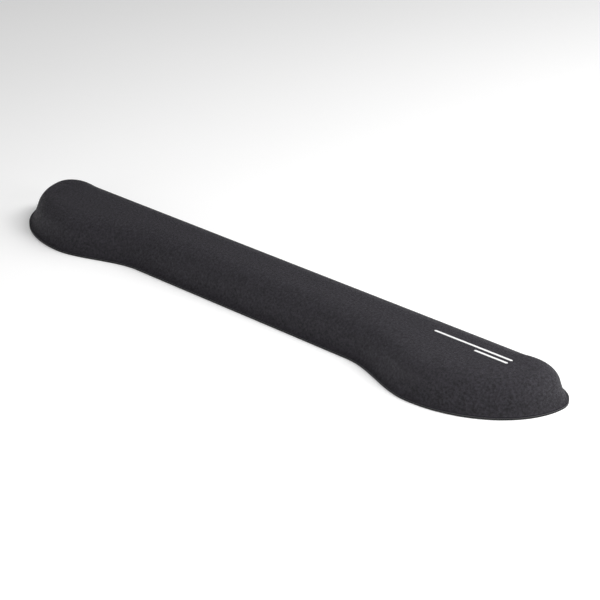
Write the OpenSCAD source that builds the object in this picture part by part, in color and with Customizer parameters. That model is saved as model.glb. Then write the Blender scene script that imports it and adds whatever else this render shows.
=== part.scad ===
// Keyboard wrist rest: a gel cushion under stretch fabric, pressed down to a thin flange on a non-slip base.
// X runs along the length, Y from the user's side (minus) to the keyboard's side (plus), Z up from the desk.
// The origin is on the desk, under the middle of the overall length and depth.

/* [Outline] */
// Overall length, left to right
length = 480; // [420:5:540]
// Depth of the narrow middle, front to back
waist_depth = 63; // [58:1:72]
// How far each end lobe reaches forward of the waist
lobe_reach = 17; // [10:1:22]
// Length of the rounded end of each lobe
lobe_round_len = 74; // [60:1:90]
// Length over which the front edge swings out from waist to lobe
swing_len = 66; // [50:2:90]
// Length of each back corner's rounding, along the back edge
back_corner_len = 30; // [20:1:40]
// Depth of each back corner's rounding, along the end
back_corner_depth = 22; // [15:1:28]

/* [Cushion] */
// Overall height
height = 23; // [20:0.5:26]
// Width of the pressed flange round the cushion
flange_w = 4.2; // [3.4:0.2:6]
// Distance over which the cushion climbs from the flange to its crown
climb = 20; // [18:1:24]
// Half width of the soft fillet where the cushion rises out of the flange
foot_blend = 2.8; // [1:0.1:3]
// How far the cushion's crest line stops short of each end
crest_end = 40; // [34:1:48]

/* [Layers] */
// Thickness of the stretch-knit cover
cover_t = 0.7; // [0.5:0.1:1]
// Thickness of the film laminated under the cover
barrier_t = 0.3; // [0.2:0.05:0.4]
// Thickness of the film that closes the gel's underside
backing_t = 0.3; // [0.2:0.05:0.4]
// Thickness of each adhesive layer
bond_t = 0.2; // [0.15:0.05:0.3]
// Thickness of the stiffener board
board_t = 1; // [0.8:0.1:1.4]
// Thickness of the non-slip base sheet
base_t = 1; // [0.8:0.1:2]
// Gap between the cushion's wall and the sheets stacked inside it
stack_gap = 0.3; // [0.2:0.1:0.6]

/* [Printed mark] */
// Length of the long printed bar
mark_len = 62; // [40:1:66]
// Length of the short printed bar
mark_short_len = 26; // [16:1:32]
// Width of each printed bar
mark_bar_w = 1.8; // [1:0.1:2.4]
// Distance between the middles of the two bars
mark_pitch = 4.6; // [3.4:0.2:5]
// Distance from the pad's right end to the bars' right ends
mark_end = 33; // [30:1:40]
// Distance from the back edge to the middle between the bars
mark_back = 33; // [31:1:34]
// Thickness of the print
mark_t = 0.1; // [0.08:0.01:0.2]

/* [Hidden] */

// Outline, worked out in the part's frame
half_len = length / 2;
back_y = (waist_depth + lobe_reach) / 2;
lobe_y = -back_y;
waist_y = back_y - waist_depth;
widest_y = back_y - back_corner_depth;
lobe_x = half_len - lobe_round_len;
waist_x = lobe_x - swing_len;
corner_x = half_len - back_corner_len;
crest_x = half_len - crest_end;
crest_y = (back_y + waist_y) / 2;

// Heights of the stacked layers
bond_top = base_t + bond_t;
flange_top = bond_top + barrier_t + cover_t;
board_bottom = base_t + bond_t;
board_top = board_bottom + board_t;
pad_adhesive_top = board_top + bond_t;
gel_bottom = pad_adhesive_top + backing_t;
barrier_inset = cover_t;
gel_inset = cover_t + barrier_t;

// Shape of the dome's cross-section, a superellipse
crown_power = 2.5;
wall_power = 2.1;
blend_taps = [-1, -2/3, -1/3, 0, 1/3, 2/3, 1];

// Numbers of points
corner_steps = 8;
lobe_steps = 20;
swing_steps = 10;
back_stations = 12;
waist_stations = 5;
crest_steps = 16;

function smooth(u) = u * u * (3 - 2 * u);
function total(list, i = 0) = i < len(list) ? list[i] + total(list, i + 1) : 0;

// Half of the outline at plus X, from the back edge round the end to the waist.
function half_outline() = concat(
    [for (i = [0 : corner_steps]) let (a = 90 - 90 * i / corner_steps)
        [corner_x + back_corner_len * cos(a), widest_y + back_corner_depth * sin(a)]],
    [for (i = [1 : lobe_steps]) let (a = 90 * i / lobe_steps)
        [lobe_x + lobe_round_len * cos(a), widest_y + (lobe_y - widest_y) * sin(a)]],
    [for (i = [1 : swing_steps]) let (u = i / swing_steps)
        [lobe_x - swing_len * u, lobe_y + (waist_y - lobe_y) * smooth(u)]]
);

// The same half with stations added along the straight back edge and the straight waist.
function half_stations() = concat(
    [for (i = [0 : back_stations - 1]) [corner_x * (i + 0.5) / back_stations, back_y]],
    half_outline(),
    [for (i = [waist_stations - 1 : -1 : 0]) [waist_x * (i + 0.5) / waist_stations, waist_y]]
);

function both_halves(half) = concat(
    half,
    [for (i = [len(half) - 1 : -1 : 0]) [-half[i].x, half[i].y]]
);

outline = both_halves(half_outline());
stations = both_halves(half_stations());

// The direction, one long, in which a station's ray runs to the crest line.
function inward(p) =
    let (to_crest = [max(-crest_x, min(crest_x, p.x)), crest_y] - p)
    to_crest / norm(to_crest);

rays = [for (p = stations) inward(p)];

// Points along the crest line, and the number of the one nearest to each station.
crest = [for (k = [0 : crest_steps]) [crest_x * (2 * k / crest_steps - 1), crest_y]];
nearest_crest = [for (p = stations)
    round(crest_steps * (max(-crest_x, min(crest_x, p.x)) / crest_x + 1) / 2)];

// A closed curve that lies the distance inset inside the outline, measured along the rays.
function ring(inset) = [for (i = [0 : len(stations) - 1]) stations[i] + rays[i] * inset];

// Share of the dome's rise that is reached at a distance from the outline, with the foot blended.
function dome_share(u) = pow(1 - pow(1 - max(0, min(1, u)), crown_power), 1 / wall_power);
function rise(distance, start, reach) = total([
    for (t = blend_taps) dome_share((distance + t * foot_blend - start) / reach)
]) / len(blend_taps);

// Height of the layer that lies the given depth under the cover's outside.
function layer_z(under, distance) =
    flange_top - under + (height - flange_top) * rise(distance, flange_w + under, climb - under);

// Distance from the outline at which that layer reaches height z, by halving.
function distance_at(under, z, low, high, turns) =
    let (middle = (low + high) / 2)
    turns == 0 ? middle
    : layer_z(under, middle) < z ? distance_at(under, z, middle, high, turns - 1)
    : distance_at(under, z, low, middle, turns - 1);

gel_edge = distance_at(gel_inset, gel_bottom, flange_w - foot_blend, flange_w + climb / 2, 30);
stack_edge = gel_edge + stack_gap;

// Distances of the dome's rings from the outline: dense at the foot, wider towards the crown.
foot_rings = [flange_w - foot_blend + cover_t, gel_edge];
wall_rings = [for (i = [1 : 9]) gel_edge + (flange_w + climb + foot_blend - gel_edge) * pow(i / 9, 1.7)];
gel_rings = concat([gel_edge], wall_rings);
skin_rings = concat([0], foot_rings, wall_rings);

function layer_points(distances, under) = [
    for (d = distances) for (p = ring(d)) [p.x, p.y, layer_z(under, d)]
];
function crest_points(z) = [for (p = crest) [p.x, p.y, z]];

// Faces are listed for the side that looks up or out, and turned over for the other side.
function turned(faces, flipped) = flipped
    ? [for (face = faces) [for (k = [len(face) - 1 : -1 : 0]) face[k]]]
    : faces;

// The faces between two rings, given the number of each ring's first point. The second lies further in or up.
function band_faces(first, second, flipped = false) =
    let (n = len(stations))
    turned([for (i = [0 : n - 1]) let (next = (i + 1) % n) each [
        [first + i, first + next, second + next],
        [first + i, second + next, second + i]
    ]], flipped);

// The flat faces between a ring and the crest line's points.
function crest_faces(first, crest_first, flipped = false) =
    let (n = len(stations))
    turned([for (i = [0 : n - 1]) let (
        next = (i + 1) % n,
        here = crest_first + nearest_crest[i],
        there = crest_first + nearest_crest[next]
    ) each concat(
        [[first + i, first + next, there]],
        here == there ? [] : [[first + i, there, here]]
    )], flipped);

// The faces of one whole layer: its bands from the outline in, and its crown.
function layer_faces(first, ring_count, crest_first, flipped = false) =
    let (n = len(stations))
    concat(
        [for (j = [0 : ring_count - 2]) each band_faces(first + j * n, first + (j + 1) * n, flipped)],
        crest_faces(first + (ring_count - 1) * n, crest_first, flipped)
    );

// A shell between two layers that lie the depths outer and inner under the cover's outside.
module shell(outer, inner) {
    ring_count = len(skin_rings);
    outer_first = ring_count * len(stations);
    inner_crest = 2 * outer_first;
    outer_crest = inner_crest + len(crest);
    polyhedron(
        points = concat(
            layer_points(skin_rings, inner),
            layer_points(skin_rings, outer),
            crest_points(height - inner),
            crest_points(height - outer)
        ),
        faces = concat(
            layer_faces(0, ring_count, inner_crest, true),
            layer_faces(outer_first, ring_count, outer_crest),
            band_faces(0, outer_first)
        )
    );
}

// A flat sheet that ends the distance inset inside the outline.
module inner_sheet(inset, z, thickness) {
    translate([0, 0, z])
        linear_extrude(thickness)
            polygon(ring(inset));
}

module cover_fabric() {
    color([0.11, 0.11, 0.12]) shell(0, barrier_inset);
}

module barrier_film() {
    color([0.75, 0.78, 0.8]) shell(barrier_inset, gel_inset);
}

module gel_pad() {
    top_crest = len(gel_rings) * len(stations);
    bottom_crest = top_crest + len(crest);
    color([0.35, 0.55, 0.75])
        polyhedron(
            points = concat(
                layer_points(gel_rings, gel_inset),
                crest_points(height - gel_inset),
                crest_points(gel_bottom)
            ),
            faces = concat(
                layer_faces(0, len(gel_rings), top_crest),
                crest_faces(0, bottom_crest, true)
            )
        );
}

module backing_film() {
    color([0.75, 0.78, 0.8]) inner_sheet(gel_edge, pad_adhesive_top, backing_t);
}

module pad_adhesive() {
    color([0.9, 0.87, 0.7]) inner_sheet(stack_edge, board_top, bond_t);
}

module stiffener_board() {
    color([0.2, 0.2, 0.21]) inner_sheet(stack_edge, board_bottom, board_t);
}

module board_adhesive() {
    color([0.9, 0.87, 0.7]) inner_sheet(stack_edge, base_t, bond_t);
}

module rim_bond() {
    color([0.16, 0.16, 0.16])
        translate([0, 0, base_t])
            linear_extrude(bond_t)
                difference() {
                    polygon(outline);
                    polygon(ring(flange_w));
                }
}

module base_sheet() {
    color([0.08, 0.08, 0.085])
        linear_extrude(base_t)
            polygon(outline);
}

// A flat bar with round ends, whose right end is at x = 0.
module printed_bar(bar_len) {
    translate([mark_bar_w / 2 - bar_len, -mark_bar_w / 2])
        square([bar_len - mark_bar_w, mark_bar_w]);
    for (x = [mark_bar_w / 2 - bar_len, -mark_bar_w / 2])
        translate([x, 0])
            circle(d = mark_bar_w, $fn = 24);
}

module printed_mark() {
    color([0.95, 0.95, 0.95])
        translate([half_len - mark_end, back_y - mark_back, height])
            linear_extrude(mark_t) {
                translate([0, mark_pitch / 2]) printed_bar(mark_len);
                translate([0, -mark_pitch / 2]) printed_bar(mark_short_len);
            }
}

cover_fabric();
barrier_film();
gel_pad();
backing_film();
pad_adhesive();
stiffener_board();
board_adhesive();
rim_bond();
base_sheet();
printed_mark();
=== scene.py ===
"""Looks of a keyboard wrist rest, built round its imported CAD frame. Lengths are in metres.

The cover, its film, the gel and the base are layers of one lattice: stations round the outline, and rings
that run in from each station to the crest line. A cloth simulation swells the lattice once, and the cover,
the film and the gel follow it.
"""

import math

import bpy
import numpy as np
from mathutils import Matrix, Vector
from mathutils.bvhtree import BVHTree
from mathutils.geometry import delaunay_2d_cdt


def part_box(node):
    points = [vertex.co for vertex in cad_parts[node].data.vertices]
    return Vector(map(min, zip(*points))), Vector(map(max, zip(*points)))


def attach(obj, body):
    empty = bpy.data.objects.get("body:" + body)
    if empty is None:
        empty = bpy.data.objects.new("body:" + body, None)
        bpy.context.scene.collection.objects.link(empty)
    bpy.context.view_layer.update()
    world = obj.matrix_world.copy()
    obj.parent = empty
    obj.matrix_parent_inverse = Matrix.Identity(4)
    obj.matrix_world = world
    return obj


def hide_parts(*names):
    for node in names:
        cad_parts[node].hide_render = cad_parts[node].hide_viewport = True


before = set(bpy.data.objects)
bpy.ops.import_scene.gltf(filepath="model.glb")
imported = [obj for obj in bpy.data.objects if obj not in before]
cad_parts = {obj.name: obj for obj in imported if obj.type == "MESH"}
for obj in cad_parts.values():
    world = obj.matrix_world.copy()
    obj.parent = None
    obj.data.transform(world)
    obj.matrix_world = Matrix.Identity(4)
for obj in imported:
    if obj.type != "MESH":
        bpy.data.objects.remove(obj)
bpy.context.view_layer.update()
scene = bpy.context.scene
MM = 0.001

# ---------------------------------------------------------------- camera, floor and light

# Angles are in degrees, and the lens and the sensor are in millimetres.
CAMERA_AZIMUTH = 44.88
CAMERA_ELEVATION = 24.07
CAMERA_DISTANCE = 1.3513
CAMERA_LENS = 121.715
SENSOR_WIDTH = 36
AIM_RIGHT = 0.0261
AIM_UP = 0.0014


def facing(azimuth, elevation):
    """The direction from the object to a camera or light: azimuth 0 is the user's side, 90 the right end."""
    a, e = math.radians(azimuth), math.radians(elevation)
    return Vector((math.sin(a) * math.cos(e), -math.cos(a) * math.cos(e), math.sin(e)))


def make_camera():
    """A long lens that looks down along the rest from its right front."""
    back = facing(CAMERA_AZIMUTH, CAMERA_ELEVATION)
    right = Vector((0, 0, 1)).cross(back).normalized()
    up = back.cross(right)
    aim = right * AIM_RIGHT + up * AIM_UP
    data = bpy.data.cameras.new("camera")
    data.lens = CAMERA_LENS
    data.sensor_width = SENSOR_WIDTH
    data.clip_start = 0.01
    camera = bpy.data.objects.new("camera", data)
    place = aim + back * CAMERA_DISTANCE
    camera.matrix_world = Matrix.Translation(place) @ back.to_track_quat("Z", "Y").to_matrix().to_4x4()
    scene.collection.objects.link(camera)
    scene.camera = camera


make_camera()

# Each softbox: name, azimuth, elevation, distance, width, watts, and how far right of the origin it aims.
SOFTBOXES = [
    ("behind_high", 180, 60, 1.2, 0.8, 12.5, 0.6),
    ("behind_low", 180, 32, 1.8, 1.0, 12, 0.8),
    ("low_front", 0, 14, 1.6, 1.0, 7, 0.4),
    ("near_front", 20, 50, 0.75, 0.45, 1.8, 0.15),
    ("right_end", 100, 30, 0.6, 0.4, 2.2, 0.3),
]
WORLD_STRENGTH = 0.18


def make_lights():
    """The softboxes and an even white studio round them."""
    for name, azimuth, elevation, distance, width, watts, centre_x in SOFTBOXES:
        data = bpy.data.lights.new(name, "AREA")
        data.shape = "DISK"
        data.size = width
        data.energy = watts
        light = bpy.data.objects.new(name, data)
        toward = facing(azimuth, elevation)
        place = toward * distance + Vector((centre_x, 0, 0))
        light.matrix_world = Matrix.Translation(place) @ toward.to_track_quat("Z", "Y").to_matrix().to_4x4()
        scene.collection.objects.link(light)
    world = bpy.data.worlds.new("studio")
    world.use_nodes = True
    background = world.node_tree.nodes["Background"]
    background.inputs["Color"].default_value = (1, 1, 1, 1)
    background.inputs["Strength"].default_value = WORLD_STRENGTH
    scene.world = world
    scene.view_settings.view_transform = "Standard"


make_lights()

# ---------------------------------------------------------------- sizes, from the frame

# The outline's and the dome's shape, as in the CAD source. The rest of the sizes come from the frame's boxes.
LOBE_ROUND_LEN = 74 * MM
SWING_LEN = 66 * MM
BACK_CORNER_LEN = 30 * MM
BACK_CORNER_DEPTH = 22 * MM
FLANGE_W = 4.2 * MM
CLIMB = 20 * MM
FOOT_BLEND = 2.8 * MM
CREST_END = 40 * MM
CROWN_POWER = 2.5
WALL_POWER = 2.1

cover_low, cover_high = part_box("cover_fabric")
film_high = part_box("barrier_film")[1]
gel_low, gel_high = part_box("gel_pad")
base_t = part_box("base_sheet")[1].z
bond_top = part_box("rim_bond")[1].z

height = cover_high.z
cover_t = height - film_high.z
film_t = film_high.z - gel_high.z
flange_top = bond_top + film_t + cover_t
back_y = cover_high.y
lobe_y = cover_low.y
front_points = [v.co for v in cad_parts["base_sheet"].data.vertices if v.co.y < 0]
waist_y = max(p.y for p in front_points if abs(p.x) < cover_high.x / 2)
widest_y = back_y - BACK_CORNER_DEPTH
corner_x = cover_high.x - BACK_CORNER_LEN
lobe_x = cover_high.x - LOBE_ROUND_LEN
crest_x = cover_high.x - CREST_END
crest_y = (back_y + waist_y) / 2

# ---------------------------------------------------------------- the lattice: stations, rays and rings

COLUMNS = 192
END_STATIONS = 56
WALL_RINGS = 22
CROWN_SHARES = (0.25, 0.5, 0.75)
EDGE_SUPPORT = 0.2 * MM
BLEND_TAPS = 9
CURVE_STEPS = 400
PROFILE_STEPS = 4000


def front_y(x):
    """The front edge: the rounded lobe, the swing in to the waist, and the straight waist."""
    x = np.abs(x)
    lobe = widest_y + (lobe_y - widest_y) * np.sqrt(np.clip(1 - ((x - lobe_x) / LOBE_ROUND_LEN) ** 2, 0, 1))
    u = np.clip((lobe_x - x) / SWING_LEN, 0, 1)
    swing = lobe_y + (waist_y - lobe_y) * u * u * (3 - 2 * u)
    return np.where(x > lobe_x, lobe, swing)


def right_end():
    """Evenly spaced points round the right end, from the front edge to the back, without its two ends."""
    a = np.linspace(math.acos((crest_x - lobe_x) / LOBE_ROUND_LEN), 0, CURVE_STEPS)
    lobe = np.c_[lobe_x + LOBE_ROUND_LEN * np.cos(a), widest_y + (lobe_y - widest_y) * np.sin(a)]
    a = np.linspace(0, math.pi / 2, CURVE_STEPS // 2)
    corner = np.c_[corner_x + BACK_CORNER_LEN * np.cos(a), widest_y + BACK_CORNER_DEPTH * np.sin(a)]
    line = np.vstack([lobe, corner[1:], [[crest_x, back_y]]])
    along = np.r_[0, np.cumsum(np.linalg.norm(np.diff(line, axis=0), axis=1))]
    at = np.linspace(0, along[-1], END_STATIONS + 2)[1:-1]
    return np.c_[np.interp(at, along, line[:, 0]), np.interp(at, along, line[:, 1])]


column_x = np.linspace(-crest_x, crest_x, COLUMNS + 1)
end_points = right_end()
stations = np.vstack([
    np.c_[column_x, front_y(column_x)],
    end_points,
    np.c_[column_x[::-1], np.full(COLUMNS + 1, back_y)],
    end_points[::-1] * (-1, 1),
])
n_stations = len(stations)
crest = np.c_[column_x, np.full(COLUMNS + 1, crest_y)]
crest_of = np.r_[
    np.arange(COLUMNS + 1),
    np.full(END_STATIONS, COLUMNS),
    np.arange(COLUMNS + 1)[::-1],
    np.zeros(END_STATIONS, int),
]
to_crest = crest[crest_of] - stations
crest_distance = np.linalg.norm(to_crest, axis=1)
rays = to_crest / crest_distance[:, None]


def rise(distance, start, reach):
    """Share of the dome's height at a distance from the outline, with its foot blended into the flange."""
    total = 0
    for tap in np.linspace(-1, 1, BLEND_TAPS):
        u = np.clip((distance + tap * FOOT_BLEND - start) / reach, 0, 1)
        total = total + (1 - (1 - u) ** CROWN_POWER) ** (1 / WALL_POWER)
    return total / BLEND_TAPS


def layer_z(distance, under):
    """Height of the layer that lies the given depth under the cover's outside."""
    return flange_top - under + (height - flange_top) * rise(distance, FLANGE_W + under, CLIMB - under)


crown_start = FLANGE_W + CLIMB + FOOT_BLEND
fine = np.linspace(0, crown_start, PROFILE_STEPS)
fine_z = layer_z(fine, 0)
fine_along = np.r_[0, np.cumsum(np.hypot(np.diff(fine), np.diff(fine_z)))]
even = np.linspace(0, fine_along[-1], WALL_RINGS + 1)[1:]
wall_distances = np.r_[0, EDGE_SUPPORT, np.interp(even, fine_along, fine)]


def ring_distances():
    """Distance of every ring from the outline at every station, as rings by stations."""
    walls = np.repeat(wall_distances[:, None], n_stations, axis=1)
    crown = [crown_start + (crest_distance - crown_start) * share for share in CROWN_SHARES]
    return np.vstack([walls, crown])


distances = ring_distances()
n_rings = len(distances)
EVERY_RING = np.arange(n_rings)
INNER_RINGS = np.r_[0, 1, np.arange(3, n_rings, 2)]


def layer_points(rings, under):
    """The points of a layer: its rings, then its crest."""
    d = distances[rings]
    xy = stations[None] + rays[None] * d[..., None]
    z = layer_z(d, under)
    points = np.concatenate([xy, z[..., None]], axis=2).reshape(-1, 3)
    crest_line = np.c_[crest, np.full(len(crest), height - under)]
    return np.vstack([points, crest_line])


def band_faces(first, second):
    """Quads between two loops of points, facing out when the second lies above or inside the first."""
    here = np.arange(n_stations)
    there = (here + 1) % n_stations
    return np.c_[first + here, first + there, second + there, second + here].tolist()


def crest_faces(first, crest_first):
    """Faces between a loop of points and the crest line."""
    faces = []
    for i in range(n_stations):
        j = (i + 1) % n_stations
        a, b = crest_first + crest_of[i], crest_first + crest_of[j]
        faces.append([first + i, first + j, b] if a == b else [first + i, first + j, b, a])
    return faces


def layer_faces(ring_count, first=0):
    """The faces of a whole layer, given how many rings it has and the number of its first point."""
    faces = []
    for ring in range(ring_count - 1):
        faces += band_faces(first + ring * n_stations, first + (ring + 1) * n_stations)
    return faces + crest_faces(first + (ring_count - 1) * n_stations, first + ring_count * n_stations)


def turned(faces):
    """The same faces, looking the other way."""
    return [face[::-1] for face in faces]


def new_object(name, points, faces):
    """A smooth-shaded mesh object in the scene."""
    mesh = bpy.data.meshes.new(name)
    mesh.from_pydata(np.asarray(points).tolist(), [], [[int(i) for i in face] for face in faces])
    mesh.validate()
    mesh.polygons.foreach_set("use_smooth", [True] * len(mesh.polygons))
    mesh.update()
    piece = bpy.data.objects.new(name, mesh)
    scene.collection.objects.link(piece)
    return piece


def applied(piece):
    """Applies every modifier of a piece to its mesh."""
    bpy.context.view_layer.update()
    evaluated = piece.evaluated_get(bpy.context.evaluated_depsgraph_get())
    mesh = bpy.data.meshes.new_from_object(evaluated)
    piece.modifiers.clear()
    old, piece.data = piece.data, mesh
    bpy.data.meshes.remove(old)
    mesh.name = piece.name
    return piece


def subdivided(piece):
    """Applies one level of subdivision to a piece."""
    modifier = piece.modifiers.new("subdivision", "SUBSURF")
    modifier.levels = 1
    modifier.render_levels = 1
    return applied(piece)


# ---------------------------------------------------------------- the swell, by cloth simulation

# How far the knit starts proud of the CAD dome, how much further it starts at the end walls, and the most
# that the simulation may move it after that.
PROUD = 0.6 * MM
END_PROUD = 2.8 * MM
SWELL_CAP = 0.3 * MM
SWELL_FRAMES = 20
PRESSURE = 4
CLOTH_QUALITY = 5
SLOPE_STEP = 0.001 * MM
LEAST_MOVE = 1e-12


def proud_start():
    """The cover's outside, a little proud of the CAD dome, with fuller end walls, and level on the flange."""
    higher = layer_z(distances + SLOPE_STEP, 0)
    lower = layer_z(distances - SLOPE_STEP, 0)
    slope = (higher - lower) / (2 * SLOPE_STEP)
    risen = rise(distances, FLANGE_W, CLIMB)
    share = PROUD * risen
    at_end = np.clip((np.abs(stations[:, 0]) - corner_x) / BACK_CORNER_LEN, 0, 1)
    fading = np.clip(1 - distances / crown_start, 0, 1)
    end_share = END_PROUD * at_end**2 * risen * fading**2 * (3 - 2 * fading)
    sideways = -rays[None] * (share * slope / np.hypot(slope, 1) + end_share)[..., None]
    upward = share / np.hypot(slope, 1)
    offset = np.concatenate([sideways, upward[..., None]], axis=2).reshape(-1, 3)
    crest_offset = np.tile((0, 0, PROUD), (len(crest), 1))
    return layer_points(EVERY_RING, 0) + np.vstack([offset, crest_offset])


def swell():
    """Where the knit starts, and each point's move as the gel's pressure tightens it, softly capped."""
    start = proud_start()
    cloth = new_object("swell", start, layer_faces(n_rings))
    held = cloth.vertex_groups.new(name="held")
    for ring in range(n_rings):
        if distances[ring, 0] < FLANGE_W:
            held.add(list(range(ring * n_stations, (ring + 1) * n_stations)), 1, "REPLACE")
    modifier = cloth.modifiers.new("cloth", "CLOTH")
    modifier.settings.quality = CLOTH_QUALITY
    modifier.settings.vertex_group_mass = "held"
    modifier.settings.use_pressure = True
    modifier.settings.uniform_pressure_force = PRESSURE
    modifier.settings.effector_weights.gravity = 0
    modifier.collision_settings.use_collision = False
    modifier.point_cache.frame_start = 1
    modifier.point_cache.frame_end = SWELL_FRAMES
    for step in range(1, SWELL_FRAMES + 1):
        scene.frame_set(step)
    applied(cloth)
    end = np.zeros(len(start) * 3)
    cloth.data.vertices.foreach_get("co", end)
    bpy.data.objects.remove(cloth)
    scene.frame_set(1)
    moved = end.reshape(-1, 3) - start
    size = np.maximum(np.linalg.norm(moved, axis=1, keepdims=True), LEAST_MOVE)
    print("swell: mean %.3f mm, most %.3f mm" % (size.mean() / MM, size.max() / MM))
    return start, moved / size * SWELL_CAP * np.tanh(size / SWELL_CAP)


swell_start, swell_moves = swell()
outer_points = swell_start + swell_moves
swell_change = outer_points - layer_points(EVERY_RING, 0)


def swollen(rings, under):
    """A layer's points after the swell."""
    grid = swell_change[: n_rings * n_stations].reshape(n_rings, n_stations, 3)
    change = np.vstack([grid[rings].reshape(-1, 3), swell_change[n_rings * n_stations :]])
    return layer_points(rings, under) + change


def shell(name, outer_rings, outer, inner_rings, inner):
    """A closed shell between two layers, and the number of its first cut face, at the outline."""
    top = swollen(outer_rings, outer)
    bottom = swollen(inner_rings, inner)
    faces = layer_faces(len(outer_rings))
    faces += turned(layer_faces(len(inner_rings), len(top)))
    first_cut = len(faces)
    faces += turned(band_faces(0, len(top)))
    piece = new_object(name, np.vstack([top, bottom]), faces)
    return piece, first_cut


# ---------------------------------------------------------------- pieces

def sheet_coordinates(rings):
    """Where each point of a layer lay in the flat knit, with the stretch shared along a ray."""
    d = distances
    z = layer_z(d, 0)
    steps = np.hypot(np.diff(d, axis=0), np.diff(z, axis=0))
    along = np.vstack([np.zeros(n_stations), np.cumsum(steps, axis=0)])
    whole = along[-1] + crest_distance - d[-1]
    flat = stations[None] + rays[None] * (along / whole * crest_distance)[..., None]
    return np.vstack([flat[rings].reshape(-1, 2), crest])


def pressed_share(rings):
    """1 on the flattened flange, fading to 0 a little way up the wall: the mask of the flange's press and of
    the painted shade along the dome's foot.
    """
    d = np.r_[distances[rings].reshape(-1), np.full(len(crest), crown_start)]
    return np.clip((FLANGE_W + FOOT_BLEND - d) / (2 * FOOT_BLEND), 0, 1)


def add_attributes(piece, outer_rings, inner_rings):
    """Stores each point's place in the flat knit, and its share of the flange's press and painted foot shade,
    for the knit's material.
    """
    flat = np.vstack([sheet_coordinates(outer_rings), sheet_coordinates(inner_rings)])
    sheet = piece.data.attributes.new("sheet", "FLOAT_VECTOR", "POINT")
    sheet.data.foreach_set("vector", np.c_[flat, np.zeros(len(flat))].ravel())
    pressed = piece.data.attributes.new("pressed", "FLOAT", "POINT")
    pressed.data.foreach_set("value", np.r_[pressed_share(outer_rings), pressed_share(inner_rings)])


def crease_loops(piece, starts, sharpness):
    """Creases the closed loops of points that begin at the given numbers."""
    loops = {(start + i, start + (i + 1) % n_stations) for start in starts for i in range(n_stations)}
    loops |= {(b, a) for a, b in loops}
    crease = piece.data.attributes.new("crease_edge", "FLOAT", "EDGE")
    for edge in piece.data.edges:
        if tuple(edge.vertices) in loops:
            crease.data[edge.index].value = sharpness


EDGE_CREASE = 0.75


def make_cover(knit, cut_edge):
    """The stretch-knit cover, with its cut edge round the outline."""
    piece, first_cut = shell("knit_cover", EVERY_RING, 0, INNER_RINGS, cover_t)
    piece.data.materials.append(knit)
    piece.data.materials.append(cut_edge)
    for face in piece.data.polygons[first_cut:]:
        face.material_index = 1
    add_attributes(piece, EVERY_RING, INNER_RINGS)
    crease_loops(piece, (0, n_rings * n_stations + len(crest)), EDGE_CREASE)
    subdivided(piece)
    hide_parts("cover_fabric")
    return piece


def make_film(material):
    """The film laminated under the cover."""
    piece, _ = shell("laminated_film", INNER_RINGS, cover_t, INNER_RINGS, cover_t + film_t)
    piece.data.materials.append(material)
    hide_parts("barrier_film")
    return piece


def make_gel(material):
    """The gel body under the film, closed by a flat underside."""
    under = cover_t + film_t
    profile = layer_z(fine, under)
    edge = np.interp(gel_low.z, profile, fine)
    rings = [r for r in INNER_RINGS if distances[r, 0] > edge + EDGE_SUPPORT]
    upper = swollen(rings, under)
    first = np.c_[stations + rays * edge, np.full(n_stations, gel_low.z)]
    points = np.vstack([first, upper, np.c_[crest, np.full(len(crest), gel_low.z)]])
    faces = layer_faces(len(rings) + 1)
    faces += turned(crest_faces(0, len(first) + len(upper)))
    piece = new_object("gel_body", points, faces)
    piece.data.materials.append(material)
    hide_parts("gel_pad")
    return piece


def loop_at(inset, z):
    """The outline's stations moved in along their rays, at one height."""
    return np.c_[stations + rays * inset, np.full(n_stations, z)]


def make_rim_bond(material):
    """The flat ring of adhesive between the flange and the base."""
    rings = [loop_at(FLANGE_W, base_t), loop_at(0, base_t), loop_at(0, bond_top), loop_at(FLANGE_W, bond_top)]
    faces = []
    for k in range(len(rings)):
        faces += band_faces(k * n_stations, (k + 1) % len(rings) * n_stations)
    piece = new_object("rim_bond_ring", np.vstack(rings), faces)
    piece.data.materials.append(material)
    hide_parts("rim_bond")
    return piece


STUD_PITCH = 3.2 * MM
STUD_R = 1.0 * MM
STUD_TIP_R = 0.8 * MM
STUD_H = 0.25 * MM
STUD_SIDES = 6
BORDER_W = 3 * MM
BASE_EDGE_R = 0.15 * MM
SAME_POINT = 1e-7


def inside_outline(points, margin):
    """Which points lie inside the outline by at least the margin, taken along x and y."""
    x, y = points[:, 0], points[:, 1]
    ok = np.ones(len(points), bool)
    for dx, dy in ((margin, margin), (-margin, margin), (margin, -margin), (-margin, -margin)):
        px, py = np.abs(x + dx), y + dy
        u = np.clip((px - corner_x) / BACK_CORNER_LEN, 0, 1)
        back = widest_y + (back_y - widest_y) * np.sqrt(1 - u * u)
        ok &= (px < cover_high.x) & (py < back) & (py > front_y(np.minimum(px, cover_high.x)))
    return ok


def stud_centres():
    """A triangular lattice of studs over the underside."""
    row_gap = STUD_PITCH * math.sqrt(3) / 2
    rows = int(back_y / row_gap)
    across = int(cover_high.x / STUD_PITCH)
    centres = [((i + 0.5 * (j % 2)) * STUD_PITCH, j * row_gap)
               for j in range(-rows, rows + 1) for i in range(-across, across + 1)]
    centres = np.array(centres)
    return centres[inside_outline(centres, BORDER_W + STUD_PITCH / 2)]


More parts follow.
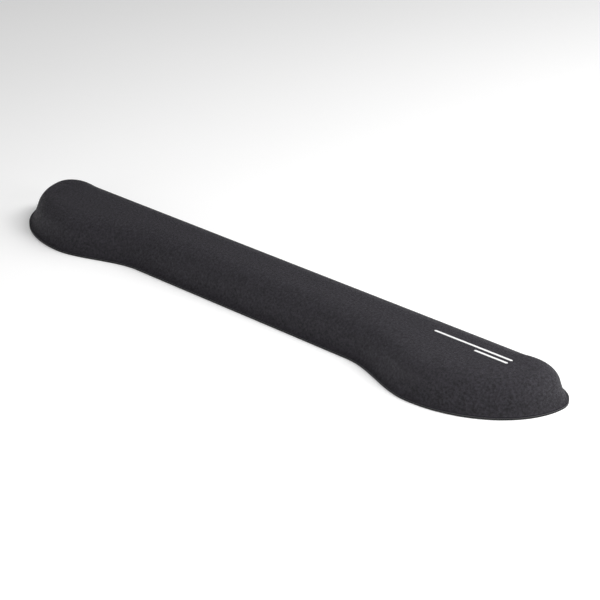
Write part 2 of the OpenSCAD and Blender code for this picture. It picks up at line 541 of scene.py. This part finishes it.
def make_base(material):
    """The base sheet: a flat border underneath, and low studs inside it. The recess's floor is missing."""
    insets = (BASE_EDGE_R, 0, 0, BASE_EDGE_R, BORDER_W, BORDER_W + STUD_H / 2)
    levels = (base_t, base_t - BASE_EDGE_R, BASE_EDGE_R, 0, 0, STUD_H)
    loops = [loop_at(inset, z) for inset, z in zip(insets, levels)]
    points = np.vstack(loops + [np.c_[crest, np.full(len(crest), base_t)]])
    faces = []
    for k in range(len(loops) - 1):
        faces += turned(band_faces(k * n_stations, (k + 1) * n_stations))
    faces += crest_faces(0, len(loops) * n_stations)
    last_loop = (len(loops) - 1) * n_stations

    # This triangulation was meant to be the recess's floor, with a hole at each stud. Known fault: item 4
    # tells where the edges come from, so no floor face passes the test below. Item 5 is the faces' own.
    centres = stud_centres()
    turn = np.arange(STUD_SIDES) * 2 * math.pi / STUD_SIDES
    circle = np.c_[np.cos(turn), np.sin(turn)]
    rings = (centres[:, None] + STUD_R * circle[None]).reshape(-1, 2)
    tips = (centres[:, None] + STUD_TIP_R * circle[None]).reshape(-1, 2)
    flat = np.vstack([loops[-1][:, :2], rings])
    regions = [list(range(n_stations))]
    for k in range(len(centres)):
        start = n_stations + k * STUD_SIDES
        regions.append(list(range(start, start + STUD_SIDES)))
    out = delaunay_2d_cdt([Vector(p) for p in flat], [], regions, 1, SAME_POINT)
    floor_faces, point_sources, edge_sources = out[2:5]
    first_tip = len(points) + len(rings)
    number = []
    for sources in point_sources:
        shift = last_loop if sources[0] < n_stations else len(points) - n_stations
        number.append(sources[0] + shift)
    for face, sources in zip(floor_faces, edge_sources):
        if list(sources) == [0]:
            faces.append([number[i] for i in face][::-1])
    for k in range(len(centres)):
        low, tip = len(points) + k * STUD_SIDES, first_tip + k * STUD_SIDES
        for i in range(STUD_SIDES):
            j = (i + 1) % STUD_SIDES
            faces.append([low + i, tip + i, tip + j, low + j])
        faces.append([tip + i for i in range(STUD_SIDES)][::-1])
    points = np.vstack([points, np.c_[rings, np.full(len(rings), STUD_H)], np.c_[tips, np.zeros(len(tips))]])
    piece = new_object("studded_base", points, faces)
    piece.data.materials.append(material)
    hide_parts("base_sheet")
    return piece


PRINT_STEP = 0.5 * MM
PRINT_ROWS = 5
PRINT_LIFT = 0.06 * MM
PRINT_EDGE_LIFT = 0.018 * MM
PRINT_SINK = 0.1 * MM


def make_mark(cover, material):
    """The printed bars, laid on the finished cover. Their outlines come from the CAD node's two bars."""
    tree = BVHTree.FromObject(cover, bpy.context.evaluated_depsgraph_get())
    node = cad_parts["printed_mark"].data
    ys = [v.co.y for v in node.vertices]
    middle = (min(ys) + max(ys)) / 2
    points, faces = [], []
    for side in (-1, 1):
        bar = [v.co for v in node.vertices if (v.co.y - middle) * side > 0]
        x0, x1 = min(p.x for p in bar), max(p.x for p in bar)
        y0, y1 = min(p.y for p in bar), max(p.y for p in bar)
        half_w = (y1 - y0) / 2
        count = max(2, round((x1 - x0) / PRINT_STEP))
        first = len(points)
        for i in range(count + 1):
            x = x0 + (x1 - x0) * i / count
            from_end = min(x - x0, x1 - x, half_w)
            half = half_w * math.sqrt(max(1 - (1 - from_end / half_w) ** 2, 0.01))
            for j in range(PRINT_ROWS):
                y = (y0 + y1) / 2 + half * (2 * j / (PRINT_ROWS - 1) - 1)
                hit = tree.ray_cast(Vector((x, y, 1)), Vector((0, 0, -1)))[0]
                at_edge = j in (0, PRINT_ROWS - 1) or i in (0, count)
                points.append((x, y, hit.z + (PRINT_EDGE_LIFT if at_edge else PRINT_LIFT)))
        n_top = (count + 1) * PRINT_ROWS
        for i in range(n_top):
            x, y, z = points[first + i]
            points.append((x, y, z - PRINT_SINK - PRINT_LIFT))
        for i in range(count):
            for j in range(PRINT_ROWS - 1):
                a = first + i * PRINT_ROWS + j
                quad = [a, a + PRINT_ROWS, a + PRINT_ROWS + 1, a + 1]
                faces.append(quad)
                faces.append([k + n_top for k in quad][::-1])
        rim = [first + i * PRINT_ROWS for i in range(count + 1)]
        rim += [first + count * PRINT_ROWS + j for j in range(1, PRINT_ROWS)]
        rim += [first + (i + 1) * PRINT_ROWS - 1 for i in range(count - 1, -1, -1)]
        rim += [first + j for j in range(PRINT_ROWS - 2, 0, -1)]
        for a, b in zip(rim, rim[1:] + rim[:1]):
            faces.append([a + n_top, b + n_top, b, a])
    piece = new_object("printed_bars", points, faces)
    piece.data.materials.append(material)
    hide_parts("printed_mark")
    return piece


# ---------------------------------------------------------------- materials

class Nodes:
    """A material's node tree, with short calls that add and link nodes."""

    def __init__(self, name):
        self.material = bpy.data.materials.new(name)
        self.material.use_nodes = True
        self.tree = self.material.node_tree
        self.shader = self.tree.nodes["Principled BSDF"]

    def put(self, socket, value):
        if isinstance(value, bpy.types.NodeSocket):
            self.tree.links.new(value, socket)
        else:
            socket.default_value = value

    def surface(self, **values):
        for name, value in values.items():
            self.put(self.shader.inputs[name.replace("_", " ")], value)

    def math(self, operation, a, b=0.0):
        node = self.tree.nodes.new("ShaderNodeMath")
        node.operation = operation
        self.put(node.inputs[0], a)
        self.put(node.inputs[1], b)
        return node.outputs[0]

    def attribute(self, name, output):
        node = self.tree.nodes.new("ShaderNodeAttribute")
        node.attribute_name = name
        return node.outputs[output]

    def object_place(self):
        return self.tree.nodes.new("ShaderNodeTexCoord").outputs["Object"]

    def split(self, vector):
        node = self.tree.nodes.new("ShaderNodeSeparateXYZ")
        self.put(node.inputs[0], vector)
        return node.outputs

    def noise(self, place, size, detail=2.0, rough=0.5):
        """Noise from 0 to 1 whose features are about the given size."""
        node = self.tree.nodes.new("ShaderNodeTexNoise")
        self.put(node.inputs["Vector"], place)
        node.inputs["Scale"].default_value = 1 / size
        node.inputs["Detail"].default_value = detail
        node.inputs["Roughness"].default_value = rough
        return node.outputs["Fac"]

    def remap(self, value, low, high, out_low, out_high):
        node = self.tree.nodes.new("ShaderNodeMapRange")
        for k, v in enumerate((value, low, high, out_low, out_high)):
            self.put(node.inputs[k], v)
        return node.outputs[0]

    def mix(self, share, a, b):
        """A mix of two colours. Inputs 6 and 7 and output 2 are the node's colour sockets."""
        node = self.tree.nodes.new("ShaderNodeMix")
        node.data_type = "RGBA"
        self.put(node.inputs["Factor"], share)
        self.put(node.inputs[6], a)
        self.put(node.inputs[7], b)
        return node.outputs[2]

    def scaled(self, colour, share):
        """The colour times a share that varies over the surface."""
        node = self.tree.nodes.new("ShaderNodeVectorMath")
        node.operation = "SCALE"
        self.put(node.inputs[0], colour[:3])
        self.put(node.inputs["Scale"], share)
        return node.outputs[0]

    def bump(self, height_value, depth):
        node = self.tree.nodes.new("ShaderNodeBump")
        node.inputs["Distance"].default_value = depth
        self.put(node.inputs["Height"], height_value)
        return node.outputs[0]


WALE = 0.46 * MM
COURSE = 0.38 * MM
VEE_SLANT = 1.3


def knit_height(nodes, sheet):
    """Height of the knit, from 0 to 1: columns of small V stitches."""
    x, y, _ = nodes.split(sheet)
    across = nodes.math("FRACT", nodes.math("DIVIDE", x, WALE))
    from_middle = nodes.math("ABSOLUTE", nodes.math("SUBTRACT", across, 0.5))
    along = nodes.math("ADD", nodes.math("DIVIDE", y, COURSE), nodes.math("MULTIPLY", from_middle, VEE_SLANT))
    strand = nodes.math("ABSOLUTE", nodes.math("SINE", nodes.math("MULTIPLY", along, math.pi)))
    column = nodes.math("SINE", nodes.math("MULTIPLY", across, math.pi))
    column = nodes.math("POWER", nodes.math("ABSOLUTE", column), 0.5)
    return nodes.math("MULTIPLY", nodes.math("POWER", strand, 0.7), column)


KNIT_COLOUR = (0.0128, 0.0109, 0.0158, 1)


def knit_material():
    """Black stretch knit: small V stitches under a worn grain, duller where it is flattened on the flange,
    and darkened there and along the wall's foot by painted shade.
    """
    nodes = Nodes("black_knit")
    sheet = nodes.attribute("sheet", "Vector")
    pressed = nodes.attribute("pressed", "Fac")
    place = nodes.object_place()
    stitch = knit_height(nodes, sheet)
    grain = nodes.noise(place, 1.6 * MM, 3.0, 0.7)
    cloud = nodes.noise(place, 14 * MM, 2.0)
    shade = nodes.math(
        "MULTIPLY",
        nodes.remap(stitch, 0, 1, 0.72, 1.12),
        nodes.remap(grain, 0.3, 0.7, 0.25, 1.8),
    )
    shade = nodes.math("MULTIPLY", shade, nodes.remap(cloud, 0.3, 0.7, 0.95, 1.05))
    # Painted shade: the colour darkens on the flange and along the foot of the wall, fading out a little way
    # up it.
    shade = nodes.math("MULTIPLY", shade, nodes.remap(pressed, 0, 1, 1.04, 0.75))
    relief = nodes.math("ADD", nodes.math("MULTIPLY", stitch, 0.7), nodes.math("MULTIPLY", grain, 0.6))
    relief = nodes.math("MULTIPLY", relief, nodes.remap(pressed, 0, 1, 1, 0.55))
    roughness = nodes.math(
        "MULTIPLY",
        nodes.remap(pressed, 0, 1, 0.66, 0.75),
        nodes.remap(grain, 0.3, 0.7, 1.25, 0.75),
    )
    nodes.surface(
        Base_Color=nodes.scaled(KNIT_COLOUR, shade),
        Roughness=roughness,
        Specular_IOR_Level=0.35,
        Sheen_Weight=0.03,
        Sheen_Roughness=0.45,
        Sheen_Tint=(0.9, 0.88, 1.0, 1),
        Normal=nodes.bump(relief, 0.2 * MM),
    )
    return nodes.material


def cut_edge_material():
    """The fuzzy cut edge of the knit."""
    nodes = Nodes("cut_knit_edge")
    place = nodes.object_place()
    fuzz = nodes.noise(place, 0.25 * MM, 3.0, 0.7)
    nodes.surface(
        Base_Color=nodes.scaled(KNIT_COLOUR, nodes.remap(fuzz, 0.3, 0.7, 0.5, 1.3)),
        Roughness=0.95,
        Specular_IOR_Level=0.15,
        Normal=nodes.bump(fuzz, 0.12 * MM),
    )
    return nodes.material


def rubber_material():
    """Fine-pored black rubber."""
    nodes = Nodes("base_rubber")
    place = nodes.object_place()
    pores = nodes.noise(place, 0.3 * MM, 3.0, 0.6)
    cloud = nodes.noise(place, 9 * MM, 2.0)
    nodes.surface(
        Base_Color=nodes.scaled((0.011, 0.011, 0.0115, 1), nodes.remap(cloud, 0.3, 0.7, 0.85, 1.2)),
        Roughness=nodes.remap(pores, 0.3, 0.7, 0.6, 0.8),
        Specular_IOR_Level=0.3,
        Normal=nodes.bump(pores, 0.03 * MM),
    )
    return nodes.material


def bond_material():
    """Black adhesive round the rim."""
    nodes = Nodes("rim_adhesive")
    place = nodes.object_place()
    grain = nodes.noise(place, 0.4 * MM, 2.0)
    nodes.surface(
        Base_Color=nodes.scaled((0.010, 0.010, 0.010, 1), nodes.remap(grain, 0.3, 0.7, 0.8, 1.2)),
        Roughness=nodes.remap(grain, 0.3, 0.7, 0.5, 0.7),
        Specular_IOR_Level=0.35,
    )
    return nodes.material


def film_material():
    """Thin clear film over the gel."""
    nodes = Nodes("clear_film")
    place = nodes.object_place()
    ripple = nodes.noise(place, 2.5 * MM, 2.0)
    nodes.surface(
        Base_Color=(0.03, 0.031, 0.033, 1),
        Roughness=nodes.remap(ripple, 0.3, 0.7, 0.25, 0.4),
        Normal=nodes.bump(ripple, 0.05 * MM),
    )
    return nodes.material


def gel_material():
    """Soft blue gel."""
    nodes = Nodes("soft_gel")
    place = nodes.object_place()
    depth = nodes.noise(place, 12 * MM, 3.0)
    nodes.surface(
        Base_Color=nodes.mix(depth, (0.10, 0.26, 0.50, 1), (0.16, 0.36, 0.62, 1)),
        Roughness=nodes.remap(depth, 0.3, 0.7, 0.12, 0.25),
        Subsurface_Weight=0.4,
        Subsurface_Scale=0.006,
    )
    return nodes.material


def adhesive_material():
    """Fibrous double-sided tape."""
    nodes = Nodes("tape_adhesive")
    place = nodes.object_place()
    fibre = nodes.noise(place, 0.8 * MM, 4.0, 0.7)
    nodes.surface(
        Base_Color=nodes.mix(fibre, (0.72, 0.66, 0.42, 1), (0.82, 0.78, 0.58, 1)),
        Roughness=nodes.remap(fibre, 0.3, 0.7, 0.35, 0.5),
        Normal=nodes.bump(fibre, 0.03 * MM),
    )
    return nodes.material


def board_material():
    """Grained black plastic."""
    nodes = Nodes("stiffener_plastic")
    place = nodes.object_place()
    grain = nodes.noise(place, 0.5 * MM, 2.0)
    nodes.surface(
        Base_Color=nodes.scaled((0.033, 0.033, 0.035, 1), nodes.remap(grain, 0.3, 0.7, 0.9, 1.1)),
        Roughness=nodes.remap(grain, 0.3, 0.7, 0.45, 0.6),
        Normal=nodes.bump(grain, 0.02 * MM),
    )
    return nodes.material


def print_material():
    """White heat-transfer ink."""
    nodes = Nodes("white_print")
    place = nodes.object_place()
    ink = nodes.noise(place, 0.5 * MM, 3.0, 0.6)
    nodes.surface(
        Base_Color=nodes.scaled((0.82, 0.82, 0.82, 1), nodes.remap(ink, 0.3, 0.7, 0.92, 1.05)),
        Roughness=nodes.remap(ink, 0.3, 0.7, 0.5, 0.65),
        Normal=nodes.bump(ink, 0.04 * MM),
    )
    return nodes.material


def floor_material():
    """A plain pale floor that glows a little, so that it stays pale far from the lights."""
    nodes = Nodes("pale_floor")
    place = nodes.object_place()
    cloud = nodes.noise(place, 0.4, 2.0)
    nodes.surface(
        Base_Color=nodes.scaled((0.86, 0.86, 0.86, 1), nodes.remap(cloud, 0.3, 0.7, 0.99, 1.01)),
        Roughness=0.9,
        Specular_IOR_Level=0.1,
        Emission_Color=(1, 1, 1, 1),
        Emission_Strength=0.2,
    )
    return nodes.material


def finish_node(name, material):
    """Gives a CAD node that stays its finished material."""
    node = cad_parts[name]
    node.data.materials.clear()
    node.data.materials.append(material)


# ---------------------------------------------------------------- assembly

FLOOR_HALF = 6.0
floor = new_object(
    "floor",
    [(x * FLOOR_HALF, y * FLOOR_HALF, 0) for x, y in ((-1, -1), (1, -1), (1, 1), (-1, 1))],
    [[0, 1, 2, 3]],
)
floor.data.materials.append(floor_material())

clear_film = film_material()
tape = adhesive_material()
cover = make_cover(knit_material(), cut_edge_material())
pieces = [
    cover,
    make_film(clear_film),
    make_gel(gel_material()),
    make_rim_bond(bond_material()),
    make_base(rubber_material()),
    make_mark(cover, print_material()),
]
for piece in pieces:
    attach(piece, "root")
finish_node("backing_film", clear_film)
finish_node("pad_adhesive", tape)
finish_node("stiffener_board", board_material())
finish_node("board_adhesive", tape)
